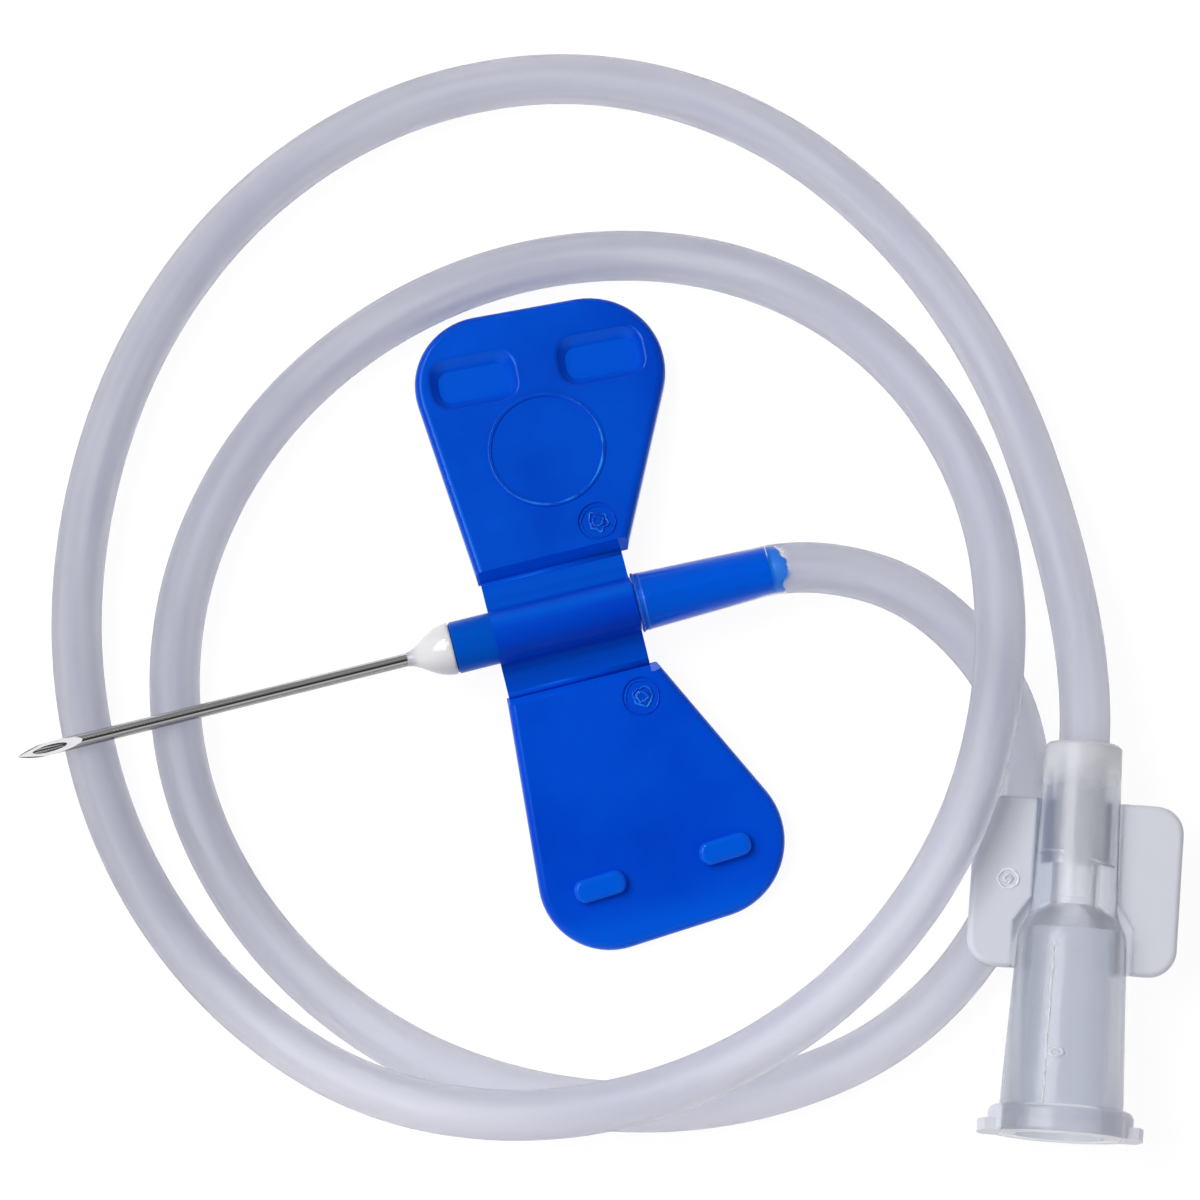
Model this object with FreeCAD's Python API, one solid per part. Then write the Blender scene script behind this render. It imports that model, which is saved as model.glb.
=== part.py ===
"""Butterfly needle: a winged steel needle on soft tubing that ends in a female luer connector.

Millimetres, +Z up. The set lies on the floor plane z = 0 with the needle along X, its tip
towards -X and its bevel facing up. Lengths along the needle are measured from the front
face of the wing sleeve. Before export all pieces move together along X, so that the origin
lies on the floor under the middle of the needle, the hub and its spigot.
"""
import FreeCAD, Part
import math
import os

V = FreeCAD.Vector
X_AXIS = V(1, 0, 0)
Y_AXIS = V(0, 1, 0)
Z_AXIS = V(0, 0, 1)

# Resting height of the needle axis above the floor
axis_height = 2.80

# Needle: 23 gauge steel tube with a three-facet point
needle_outer = 0.64
needle_bore = 0.34
needle_exposed = 19.05
needle_depth = 8.00
bevel_length = 3.20
lancet_length = 1.35
lancet_turn = 38.0

# White adhesive that anchors the needle in the hub
adhesive_length = 2.20
adhesive_neck_length = 0.45
adhesive_film = 0.03
adhesive_well_outer = 1.70
adhesive_well_depth = 1.00
adhesive_neck_share = 0.28
adhesive_rim_share = 0.45

# Hub: barrel in front of the sleeve, neck inside it, spigot behind it
barrel_outer = 2.50
barrel_length = 2.05
barrel_edge = 0.12
neck_outer = 1.90
neck_clearance = 0.01
hub_bore = 0.60
needle_clearance = 0.01
spigot_root_outer = 2.08
spigot_length = 6.50
spigot_land = 0.55

# Wing moulding: sleeve, webs and living hinges
sleeve_outer = 2.60
sleeve_length = 6.90
sleeve_gap = 0.05
web_thickness = 0.50
web_root_radius = 0.45
hinge_offset = 2.65
hinge_bead_radius = 0.16
hinge_gap = 0.04
web_slope = 15.0
plate_end_lean = 25.0

# Wing plates
plate_length = 13.04
plate_thickness = 0.90
plate_front_step = 0.10
plate_rear_step = 0.25
front_flare = 4.4
rear_flare = 26.4
tip_slant = 3.7
front_corner_radius = 3.4
rear_corner_radius = 3.7
plate_edge = 0.40

# Pegs on one wing and the sockets that take them on the other
peg_length = 2.55
peg_width = 1.15
peg_corner_radius = 0.52
peg_height = 0.50
peg_edge = 0.25
peg_front = 2.03
peg_tip_gap = 3.14
peg_rear_gap = 3.844
peg_slant = 3.0
socket_depth = 0.56
socket_floor_length = 3.35
socket_floor_width = 1.55
socket_floor_corner = 0.55
socket_rim_length = 4.20
socket_rim_width = 2.55
socket_rim_corner = 0.95
socket_edge = 0.20

# Raised ring and moulding gates
ring_width = 0.22
ring_height = 0.07
ring_front = 4.60
ring_hinge_gap = 2.85
ring_socket_gap = 0.075
gate_radius = 0.95
gate_depth = 0.10
gate_nub_radius = 0.40
gate_nub_height = 0.08
gate_front = 6.15
gate_reach = 1.62

# Tubing
tube_outer = 2.40
tube_bore = 1.50
bond_length = 0.60
bond_bore = 0.80
bond_clearance = 0.02

# Luer connector, measured from its tubing end along its own axis
luer_entry_x = 25.84
luer_entry_y = -11.78
luer_entry_z = 3.15
luer_heading = -108.2
luer_length = 18.60
entry_outer = 3.65
entry_funnel = 0.25
entry_edge = 0.15
stem_outer = 4.10
stem_length = 7.50
tube_seat_depth = 5.80
tube_socket_clearance = 0.01
luer_passage = 1.60
shoulder_length = 2.10
barrel_root_outer = 5.20
barrel_mouth_outer = 5.85
rim_outer = 6.86
rim_length = 1.30
rim_back_edge = 0.35
rim_edge = 0.15
luer_mouth_bore = 4.30
luer_taper = 0.06
luer_cavity_depth = 9.65
cavity_root_length = 1.20
lug_span = 7.83
lug_width = 3.00
lug_thickness = 0.55
grip_span = 9.90
grip_length = 8.10
grip_start = 2.70
grip_thickness = 0.90
grip_corner_radius = 1.30
grip_edge = 0.28

# Places that follow from the sizes above
hub_front = -barrel_length
adhesive_front = hub_front - adhesive_length
tip_x = adhesive_front - needle_exposed
needle_end = hub_front + needle_depth
spigot_start = sleeve_length + sleeve_gap
spigot_end = spigot_start + spigot_length
collar_end = spigot_end - spigot_land
middle_x = (tip_x + spigot_end) / 2
sleeve_radius = sleeve_outer / 2
underside = axis_height - sleeve_radius
hinge_height = underside + hinge_bead_radius
wing_droop = math.degrees(
    math.asin(hinge_height / math.hypot(plate_length, hinge_bead_radius))
    - math.atan2(hinge_bead_radius, plate_length)
)
peg_reach = plate_length - peg_tip_gap
rear_edge = sleeve_length + plate_rear_step + peg_reach * math.tan(math.radians(rear_flare))
peg_pitch = (rear_edge - peg_rear_gap - peg_front) / math.cos(math.radians(peg_slant))
ring_space = peg_reach - socket_rim_width / 2 - ring_socket_gap - ring_hinge_gap
ring_reach = ring_hinge_gap + ring_space / 2
ring_radius = (ring_space - ring_width) / 2
rim_start = luer_length - rim_length
rim_contact = rim_start + rim_back_edge
luer_pitch = math.degrees(
    math.acos(luer_entry_z / math.hypot(rim_outer / 2, rim_contact))
    - math.atan2(rim_contact, rim_outer / 2)
)
luer_entry = V(luer_entry_x, luer_entry_y, luer_entry_z)

# Points of the tubing's route between the spigot and the connector. It lies on the floor,
# climbs in one long low hump over itself and over one grip of the connector, and comes
# down again beside them.
free_route = [
    (20.6, -2.8, 1.85), (23.75, -9.2, 1.2), (21.72, -17.2, 1.2), (15.0, -22.9, 1.2),
    (6.5, -24.3, 1.2), (-1.9, -22.5, 1.2), (-9.2, -18.0, 1.2), (-14.3, -11.0, 1.2),
    (-16.3, -2.7, 1.2), (-14.4, 5.7, 1.2), (-9.1, 12.5, 1.2), (-1.6, 16.6, 1.2),
    (6.9, 17.7, 1.2), (15.3, 15.4, 1.2), (21.6, 9.7, 1.5), (24.4, 1.6, 2.95),
    (23.3, -6.8, 4.65), (19.4, -14.5, 4.85), (12.9, -20.1, 4.2), (4.9, -23.0, 3.85),
    (-3.7, -22.9, 3.7), (-11.4, -19.5, 2.0), (-17.0, -13.0, 1.2), (-19.9, -5.0, 1.2),
    (-19.9, 3.6, 1.2), (-17.3, 11.7, 1.2), (-12.6, 18.8, 1.2), (-5.9, 24.1, 1.2),
    (2.2, 26.7, 1.2), (10.8, 26.0, 1.2), (18.3, 21.8, 1.2), (23.6, 15.0, 1.2),
    (26.6, 7.0, 1.25), (27.3, -1.3, 1.85),
]
route_lead = 2.5
luer_lead = 3.0
arc_share = 0.45


def revolve_about_needle(edges):
    """Solid of a closed profile turned about the needle axis."""
    face = Part.Face(Part.Wire(edges))
    return face.revolve(V(0, 0, axis_height), X_AXIS, 360)


def line_chain(points):
    """Straight edges through the points, left open."""
    return [Part.makeLine(a, b) for a, b in zip(points, points[1:])]


def at_radius(x, radius):
    """Point of a turned profile on the needle axis."""
    return V(x, 0, axis_height + radius)


def tube_along_x(x, length, outer, bore):
    """Straight tube on the needle axis, given by its two diameters."""
    start = V(x, 0, axis_height)
    body = Part.makeCylinder(outer / 2, length, start, X_AXIS)
    return body.cut(Part.makeCylinder(bore / 2, length, start, X_AXIS))


def clean(shape):
    """One valid solid with merged faces."""
    return shape.removeSplitter().Solids[0]


def half_space(corner, slope, turn, size):
    """Block above a plane that rises towards +X by slope, turned about the needle by turn."""
    block = Part.makeBox(2 * size, 2 * size, size, V(-size, -size, 0))
    block.rotate(V(0, 0, 0), Y_AXIS, -slope)
    block.rotate(V(0, 0, 0), X_AXIS, turn)
    block.translate(corner)
    return block


def lancet_slope():
    """Slope of the two tip facets, which leave the bevel's rim at the lancet length."""
    rise = needle_outer / bevel_length
    radius = needle_outer / 2
    half_width = math.sqrt(radius ** 2 - (radius - rise * lancet_length) ** 2)
    turn = math.radians(lancet_turn)
    tangent = rise * math.cos(turn) + half_width * math.sin(turn) / lancet_length
    return math.degrees(math.atan(tangent))


def make_needle():
    """Steel tube ground with one long bevel and two lancet facets at the tip."""
    needle = tube_along_x(tip_x, needle_end - tip_x, needle_outer, needle_bore)
    point = V(tip_x, 0, axis_height - needle_outer / 2)
    slope = math.degrees(math.atan2(needle_outer, bevel_length))
    size = bevel_length * 2
    needle = needle.cut(half_space(point, slope, 0, size))
    for turn in (-lancet_turn, lancet_turn):
        needle = needle.cut(half_space(point, lancet_slope(), turn, size))
    return clean(needle)


def make_needle_adhesive():
    """Glossy fillet from the needle to the hub's rim, with its root in the hub's well."""
    bore = needle_outer / 2
    neck = bore + adhesive_film
    neck_end = adhesive_front + adhesive_neck_length
    rim = barrel_outer / 2
    span = hub_front - neck_end
    well_end = hub_front + adhesive_well_depth
    flare = Part.BezierCurve()
    flare.setPoles([
        at_radius(neck_end, neck),
        at_radius(neck_end + adhesive_neck_share * span, neck),
        at_radius(hub_front - adhesive_rim_share * span, rim),
        at_radius(hub_front, rim),
    ])
    edges = [flare.toShape()]
    edges += line_chain([
        at_radius(hub_front, rim),
        at_radius(hub_front, adhesive_well_outer / 2),
        at_radius(well_end, neck),
        at_radius(well_end, bore),
        at_radius(adhesive_front, bore),
        at_radius(adhesive_front, neck),
        at_radius(neck_end, neck),
    ])
    return clean(revolve_about_needle(edges))


def make_hub():
    """Turned hub: barrel with adhesive well, neck through the sleeve, tapered spigot."""
    film = needle_outer / 2 + adhesive_film
    hold = needle_outer / 2 + needle_clearance
    well_end = hub_front + adhesive_well_depth
    neck = neck_outer / 2
    barrel = barrel_outer / 2
    points = [
        at_radius(hub_front, adhesive_well_outer / 2),
        at_radius(hub_front, barrel - barrel_edge),
        at_radius(hub_front + barrel_edge, barrel),
        at_radius(0, barrel),
        at_radius(0, neck),
        at_radius(spigot_start, neck),
        at_radius(spigot_start, spigot_root_outer / 2),
        at_radius(collar_end, tube_bore / 2),
        at_radius(spigot_end, tube_bore / 2),
        at_radius(spigot_end, hub_bore / 2),
        at_radius(needle_end, hub_bore / 2),
        at_radius(needle_end, hold),
        at_radius(well_end, hold),
        at_radius(well_end, film),
        at_radius(hub_front, adhesive_well_outer / 2),
    ]
    return clean(revolve_about_needle(line_chain(points)))


def section_arc(centre, radius, start, end):
    """Arc in the cross-section plane, from angle start to angle end in degrees."""
    middle = (start + end) / 2
    points = []
    for angle in (start, middle, end):
        turn = math.radians(angle)
        points.append(centre + V(0, radius * math.cos(turn), radius * math.sin(turn)))
    return Part.Arc(*points).toShape(), points[0], points[2]


def half_section_edges():
    """Upper outline of the +Y half: sleeve crown, root fillet, web, slope and hinge bead."""
    axis = V(0, 0, axis_height)
    web_top = underside + web_thickness
    fillet_z = web_top + web_root_radius
    fillet_y = math.sqrt(
        (sleeve_radius + web_root_radius) ** 2 - (fillet_z - axis_height) ** 2
    )
    fillet_centre = V(0, fillet_y, fillet_z)
    touch = math.degrees(math.atan2(fillet_z - axis_height, fillet_y))
    hinge = V(0, hinge_offset, hinge_height)
    crown, crown_start, crown_end = section_arc(axis, sleeve_radius, 90, touch)
    fillet, fillet_start, fillet_end = section_arc(
        fillet_centre, web_root_radius, touch + 180, 270
    )
    bead, bead_start, bead_end = section_arc(hinge, hinge_bead_radius, 90 - web_slope, -90)
    run = (web_top - bead_start.z) / math.tan(math.radians(web_slope))
    slope_top = V(0, bead_start.y - run, web_top)
    return [
        crown,
        fillet,
        Part.makeLine(fillet_end, slope_top),
        Part.makeLine(slope_top, bead_start),
        bead,
    ], bead_end


def make_wing_sleeve():
    """Sleeve with its two webs, drawn as one section and extruded along the needle."""
    edges, bottom = half_section_edges()
    mirrored = [edge.mirror(V(0, 0, 0), Y_AXIS) for edge in edges]
    base = Part.makeLine(bottom, V(0, -bottom.y, bottom.z))
    outline = Part.Wire(Part.__sortEdges__(edges + mirrored + [base]))
    body = Part.Face(outline).extrude(V(sleeve_length, 0, 0))
    bore = neck_outer / 2 + neck_clearance
    body = body.cut(Part.makeCylinder(bore, sleeve_length, V(0, 0, axis_height), X_AXIS))
    return clean(body)


def tip_corners(side):
    """Front and rear corners of the wing's slanted tip, as they are before rounding."""
    front_lean = math.tan(math.radians(front_flare))
    rear_lean = math.tan(math.radians(rear_flare))
    slant = math.radians(tip_slant)
    fall = math.tan(slant)
    front = -plate_front_step
    rear = sleeve_length + plate_rear_step
    arc_reach = plate_length - front_corner_radius
    arc_x = front - arc_reach * front_lean + front_corner_radius * math.hypot(1, front_lean)
    crest = arc_reach + front_corner_radius / math.cos(slant) + arc_x * fall
    front_reach = (crest - front * fall) / (1 - fall * front_lean)
    rear_reach = (crest - rear * fall) / (1 + fall * rear_lean)
    return (
        V(front - front_reach * front_lean, side * front_reach, -hinge_bead_radius),
        V(rear + rear_reach * rear_lean, side * rear_reach, -hinge_bead_radius),
    )


def plate_blank(side):
    """Flat plate about its hinge axis, towards side: outline, rounded rim, leaning end wall."""
    front_tip, rear_tip = tip_corners(side)
    corners = [
        V(-plate_front_step, 0, -hinge_bead_radius),
        front_tip,
        rear_tip,
        V(sleeve_length + plate_rear_step, 0, -hinge_bead_radius),
    ]
    outline = Part.Wire(line_chain(corners + corners[:1]))
    plate = Part.Face(outline).extrude(V(0, 0, plate_thickness))
    for corner, radius in ((front_tip, front_corner_radius), (rear_tip, rear_corner_radius)):
        edge = nearest_upright_edge(plate, corner)
        plate = plate.makeFillet(radius, [edge])
    top = plate_thickness - hinge_bead_radius
    rim = [
        edge for edge in plate.Edges
        if edge.BoundBox.ZMin > top - 1e-4 and abs(edge.CenterOfMass.y) > plate_thickness
    ]
    return plate.makeFillet(plate_edge, rim).cut(end_wall_cutter(side))


def nearest_upright_edge(shape, corner):
    """The edge along Z that stands over the given corner point."""
    upright = [
        edge for edge in shape.Edges
        if abs(edge.Vertexes[0].X - edge.Vertexes[-1].X) < 1e-6
        and abs(edge.Vertexes[0].Y - edge.Vertexes[-1].Y) < 1e-6
    ]
    return min(upright, key=lambda edge: math.hypot(
        edge.Vertexes[0].X - corner.x, edge.Vertexes[0].Y - corner.y
    ))


def end_wall_cutter(side):
    """Block that leaves the plate's end wall leaning outwards, clear of the hinge bead."""
    lean = math.radians(plate_end_lean)
    reach = hinge_bead_radius + hinge_gap
    size = sleeve_length * 4
    block = Part.makeBox(size, size, size, V(-size / 2, min(0, -side * size), -size / 2))
    block.rotate(V(0, 0, 0), X_AXIS, -side * plate_end_lean)
    block.translate(V(0, side * reach * math.cos(lean), -reach * math.sin(lean)))
    return block


def rounded_rectangle(length, width, radius, centre):
    """Level outline with round corners, long side along X."""
    half_length = length / 2
    half_width = width / 2
    box = Part.makeBox(length, width, 1, centre + V(-half_length, -half_width, 0))
    upright = [edge for edge in box.Edges if edge.BoundBox.ZLength > 0.5]
    box = box.makeFillet(radius, upright)
    return min(box.Faces, key=lambda face: face.CenterOfMass.z).OuterWire


def peg_places(side):
    """Centres of the two pegs, or sockets, on the plate's upper face."""
    top = plate_thickness - hinge_bead_radius
    slant = math.radians(peg_slant)
    step = V(math.cos(slant), -side * math.sin(slant), 0) * peg_pitch
    return [V(peg_front, side * peg_reach, top) + step * index for index in range(2)]


def make_peg(place):
    """Peg with rounded corners and a rounded top, slanted as the tip is."""
    foot = Part.Face(rounded_rectangle(peg_length, peg_width, peg_corner_radius, place))
    peg = foot.extrude(V(0, 0, peg_height))
    rim = [edge for edge in peg.Edges if edge.BoundBox.ZMin > place.z + peg_height / 2]
    peg = peg.makeFillet(peg_edge, rim)
    peg.rotate(place, Z_AXIS, peg_slant)
    return peg


def make_socket_cutter(place):
    """Tapered block from the socket's floor through its rim and as far again above it."""
    outlines = []
    for level in (0, 2):
        outlines.append(rounded_rectangle(
            socket_floor_length + level * (socket_rim_length - socket_floor_length),
            socket_floor_width + level * (socket_rim_width - socket_floor_width),
            socket_floor_corner + level * (socket_rim_corner - socket_floor_corner),
            place + V(0, 0, (level - 1) * socket_depth),
        ))
    cutter = Part.makeLoft(outlines, True, True)
    cutter.rotate(place, Z_AXIS, -peg_slant)
    return cutter


def with_gate_mark(plate, side):
    """Shallow round gate recess with the sheared nub in its middle."""
    top = plate_thickness - hinge_bead_radius
    floor = V(gate_front, side * gate_reach, top - gate_depth)
    plate = plate.cut(Part.makeCylinder(gate_radius, plate_thickness, floor))
    nub = Part.makeCone(gate_nub_radius, gate_nub_radius * 0.6, gate_nub_height, floor)
    return plate.fuse(nub)


def place_wing(plate, side):
    """Drops the plate's tip to the floor about its hinge and moves it to the web's edge."""
    plate.rotate(V(0, 0, 0), X_AXIS, -side * wing_droop)
    plate.translate(V(0, side * hinge_offset, hinge_height))
    return clean(plate)


def with_socket(plate, place):
    """Plate with one socket, whose mouth is rounded."""
    plate = plate.cut(make_socket_cutter(place))
    reach = math.hypot(socket_rim_length, socket_rim_width) / 2
    mouth = [
        edge for edge in plate.Edges
        if edge.BoundBox.ZMin > place.z - 1e-4
        and (edge.CenterOfMass - place).Length < reach
    ]
    return plate.makeFillet(socket_edge, mouth)


def make_wing_sockets():
    """+Y wing: two tapered sockets, a raised ring and a gate mark."""
    plate = with_gate_mark(plate_blank(1), 1)
    for place in peg_places(1):
        plate = with_socket(plate, place)
    centre = V(ring_front, ring_reach, plate_thickness - hinge_bead_radius)
    ring = Part.makeCylinder(ring_radius + ring_width / 2, ring_height, centre)
    ring = ring.cut(Part.makeCylinder(ring_radius - ring_width / 2, ring_height, centre))
    return place_wing(plate.fuse(ring), 1)


def make_wing_pegs():
    """-Y wing: two pegs and a gate mark."""
    plate = with_gate_mark(plate_blank(-1), -1)
    for place in peg_places(-1):
        plate = plate.fuse(make_peg(place))
    return place_wing(plate, -1)


def luer_axis():
    """Unit vector along the connector, from its tubing end to its mouth."""
    pitch = math.radians(luer_pitch)
    heading = math.radians(luer_heading)
    return V(
        math.cos(pitch) * math.cos(heading),
        math.cos(pitch) * math.sin(heading),
        math.sin(pitch),
    )


def route_points():
    """The whole route: off the spigot, the free stretch, then into the luer socket."""
    axis = luer_axis()
    hub_points = [
        V(collar_end - route_lead, 0, axis_height),
        V(collar_end + route_lead, 0, axis_height),
    ]
    luer_points = [luer_entry - axis * luer_lead, luer_entry + axis * luer_lead]
    return hub_points + [V(*point) for point in free_route] + luer_points


def route_edges(points):
    """Straight runs joined by tangent arcs as large as the runs allow."""
    edges = []
    radii = []
    here = points[0]
    for before, corner, after in zip(points, points[1:], points[2:]):
        run_in = corner - before
        run_out = after - corner
        cut = arc_share * min(run_in.Length, run_out.Length)
        inward = V(run_in).normalize()
        outward = V(run_out).normalize()
        start = corner - inward * cut
        end = corner + outward * cut
        turn = inward.getAngle(outward)
        radii.append(cut / math.tan(turn / 2))
        bisector = (outward - inward).normalize()
        sagitta = radii[-1] * (1 / math.cos(turn / 2) - 1)
        edges.append(Part.makeLine(here, start))
        edges.append(Part.Arc(start, corner + bisector * sagitta, end).toShape())
        here = end
    edges.append(Part.makeLine(here, points[-1]))
    return edges, radii


def swept_round(edges, radius):
    """Round bar along the route."""
    start = edges[0].Vertexes[0].Point
    heading = edges[0].Vertexes[-1].Point - start
    section = Part.Wire(Part.makeCircle(radius, start, heading))
    return Part.Wire(edges).makePipeShell([section], True, True)


def stretched_radius(bore_radius):
    """Outer radius of the tubing where its bore is stretched, with the same wall area."""
    wall = (tube_outer / 2) ** 2 - (tube_bore / 2) ** 2
    return math.sqrt(wall + bore_radius ** 2)


def tubing_edges():
    """The route from the end of the stretched collar to the seat in the luer connector."""
    edges, radii = route_edges(route_points())
    edges[0] = Part.makeLine(V(collar_end, 0, axis_height), edges[0].Vertexes[-1].Point)
    seat = luer_entry + luer_axis() * tube_seat_depth
    edges[-1] = Part.makeLine(edges[-1].Vertexes[0].Point, seat)
    return edges, radii


def make_tubing():
    """Soft tube along the route, stretched where it is pushed over the spigot."""
    edges, radii = tubing_edges()
    print("tubing radii, mm:", " ".join("%.1f" % radius for radius in radii))
    bar = swept_round(edges, tube_outer / 2)
    run = bar.cut(swept_round(edges, tube_bore / 2))
    section = math.pi * (tube_outer ** 2 - tube_bore ** 2) / 4
    length = sum(edge.Length for edge in edges)
    print("swept length %.1f mm, volume / (section x length) %.4f"
          % (length, run.Volume / (section * length)))
    root = spigot_root_outer / 2
    points = [
        at_radius(spigot_start, root),
        at_radius(spigot_start, stretched_radius(root)),
        at_radius(collar_end, tube_outer / 2),
        at_radius(collar_end, tube_bore / 2),
        at_radius(spigot_start, root),
    ]
    collar = revolve_about_needle(line_chain(points))
    print("whole tubing %.1f mm" % (length + collar_end - spigot_start))
    return clean(run.fuse(collar))


def make_tubing_bond():
    """Collar of adhesive inside the tubing at the end of the spigot, bent as the tubing is."""
    first_bend = tubing_edges()[0][:3]
    core = swept_round(first_bend, tube_bore / 2 - bond_clearance)
    slab = Part.makeBox(
        bond_length, tube_outer, tube_outer,
        V(spigot_end, -tube_outer / 2, axis_height - tube_outer / 2)
    )
    bore = Part.makeCylinder(bond_bore / 2, bond_length, V(spigot_end, 0, axis_height), X_AXIS)
    return clean(core.common(slab).cut(bore))


def revolve_about_z(edges):
    """Solid of a closed profile in the XZ plane turned about Z."""
    return Part.Face(Part.Wire(edges)).revolve(V(0, 0, 0), Z_AXIS, 360)


def rounded_corner(before, corner, after, radius):
    """Arc that rounds a square corner of a profile, with its two end points."""
    start = corner + (before - corner).normalize() * radius
    end = corner + (after - corner).normalize() * radius
    centre = start + end - corner
    middle = centre + (corner - centre).normalize() * radius
    return Part.Arc(start, middle, end).toShape(), start, end


def luer_outside():
    """Connector without its hollow: stem, shoulder, tapered barrel and rounded rim."""
    shoulder_end = stem_length + shoulder_length
    shoulder = Part.BezierCurve()
    shoulder.setPoles([
        V(stem_outer / 2, 0, stem_length),
        V(stem_outer / 2, 0, stem_length + shoulder_length / 2),
        V(barrel_root_outer / 2, 0, stem_length + shoulder_length / 2),
        V(barrel_root_outer / 2, 0, shoulder_end),
    ])
    stem = line_chain([
        V(0, 0, 0),
        V(entry_outer / 2 - entry_edge, 0, 0),
        V(entry_outer / 2, 0, entry_edge),
        V(stem_outer / 2, 0, stem_length),
    ])
    rim = rim_outer / 2
    barrel_end = V(barrel_mouth_outer / 2, 0, rim_start)
    back, back_start, back_end = rounded_corner(
        barrel_end, V(rim, 0, rim_start), V(rim, 0, luer_length), rim_back_edge
    )
    front, front_start, front_end = rounded_corner(
        back_end, V(rim, 0, luer_length), V(0, 0, luer_length), rim_edge
    )
    barrel = line_chain([V(barrel_root_outer / 2, 0, shoulder_end), barrel_end, back_start])
    side = [Part.makeLine(back_end, front_start)]
    end = line_chain([front_end, V(0, 0, luer_length), V(0, 0, 0)])
    return revolve_about_z(stem + [shoulder.toShape()] + barrel + [back] + side + [front] + end)


def luer_hollow():
    """Everything that is open inside: tubing socket, passage and the luer cavity."""
    cavity_start = luer_length - luer_cavity_depth
    socket = tube_outer / 2 + tube_socket_clearance
    mouth = luer_mouth_bore / 2
    return revolve_about_z(line_chain([
        V(0, 0, 0),
        V(socket + entry_funnel, 0, 0),
        V(socket, 0, entry_funnel),
        V(socket, 0, tube_seat_depth),
        V(luer_passage / 2, 0, tube_seat_depth),
        V(luer_passage / 2, 0, cavity_start - cavity_root_length),
        V(mouth - luer_taper * luer_cavity_depth / 2, 0, cavity_start),
        V(mouth, 0, luer_length),
        V(0, 0, luer_length),
        V(0, 0, 0),
    ]))


def luer_grips():
    """Flat finger grip through the stem, with rounded corners and rims."""
    grip = Part.makeBox(
        grip_span, grip_thickness, grip_length,
        V(-grip_span / 2, -grip_thickness / 2, grip_start)
    )
    corners = [edge for edge in grip.Edges if edge.BoundBox.YLength > grip_thickness * 0.9]
    grip = grip.makeFillet(grip_corner_radius, corners)
    faces = [face for face in grip.Faces if face.BoundBox.YLength < 1e-3]
    rims = [edge for face in faces for edge in face.Edges]
    return grip.makeFillet(grip_edge, rims)


def luer_lugs():
    """Two locking lugs: a bar across the mouth, trimmed to the circle over the lugs."""
    start = V(-lug_span / 2, -lug_width / 2, luer_length - lug_thickness)
    bar = Part.makeBox(lug_span, lug_width, lug_thickness, start)
    round_bar = Part.makeCylinder(lug_span / 2, luer_length)
    return bar.common(round_bar)


def make_luer_connector():
    """Female luer connector, laid with its rim on the floor and its grips level."""
    body = luer_outside().fuse(luer_grips()).fuse(luer_lugs()).cut(luer_hollow())
    axis = luer_axis()
    side = Z_AXIS.cross(axis).normalize()
    turn = FreeCAD.Rotation(side, axis.cross(side), axis, "ZXY")
    body.Placement = FreeCAD.Placement(luer_entry, turn)
    return clean(body)


def export(name, shape):
    """Moves one piece to the origin under the set's middle and writes its file."""
    shape.translate(V(-middle_x, 0, 0))
    if not shape.isValid() or len(shape.Solids) != 1:
        raise RuntimeError("%s is not one valid solid" % name)
    shape.exportStep(os.path.join("parts", name + ".step"))
    box = shape.optimalBoundingBox(False)
    print("%-16s %8.2f mm3  x %.2f to %.2f  y %.2f to %.2f  z %.2f to %.2f" % (
        name, shape.Volume, box.XMin, box.XMax, box.YMin, box.YMax, box.ZMin, box.ZMax
    ))


def main():
    os.makedirs("parts", exist_ok=True)
    export("needle", make_needle())
    export("needle_adhesive", make_needle_adhesive())
    export("hub", make_hub())
    export("wing_sleeve", make_wing_sleeve())
    export("wing_sockets", make_wing_sockets())
    export("wing_pegs", make_wing_pegs())
    export("tubing", make_tubing())
    export("tubing_bond", make_tubing_bond())
    export("luer_connector", make_luer_connector())


main()
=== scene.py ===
"""Looks of the butterfly needle: camera, light, materials, tubing, adhesive and moulding marks.

Metres, in the frame of the CAD model: the needle lies along X with its tip towards -X, and
the set rests on the floor plane z = 0.
"""
import math

import bpy
from mathutils import Matrix, Vector, noise


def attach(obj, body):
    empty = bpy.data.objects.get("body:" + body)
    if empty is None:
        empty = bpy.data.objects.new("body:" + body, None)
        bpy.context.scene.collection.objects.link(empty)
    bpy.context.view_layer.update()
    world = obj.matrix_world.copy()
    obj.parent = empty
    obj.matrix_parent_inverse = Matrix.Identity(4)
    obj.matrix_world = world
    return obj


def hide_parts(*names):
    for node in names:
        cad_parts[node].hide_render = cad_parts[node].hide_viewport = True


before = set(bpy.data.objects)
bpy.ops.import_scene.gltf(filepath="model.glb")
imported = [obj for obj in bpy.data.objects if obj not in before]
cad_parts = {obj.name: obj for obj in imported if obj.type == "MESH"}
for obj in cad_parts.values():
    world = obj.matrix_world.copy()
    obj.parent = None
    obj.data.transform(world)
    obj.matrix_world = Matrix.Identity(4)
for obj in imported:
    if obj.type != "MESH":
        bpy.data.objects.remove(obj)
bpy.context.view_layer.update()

MM = 0.001

# Camera: what it looks at, its distance, its height angle and the photograph's turn
VIEW_TARGET = Vector((10.255, 0.666, 2.0)) * MM
VIEW_DISTANCE = 350.0 * MM
VIEW_ELEVATION = math.radians(82.0)
VIEW_TURN = math.radians(-14.04)
VIEW_WIDTH = 57.14 * MM
VIEW_NEAREST = 10.0 * MM

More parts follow.
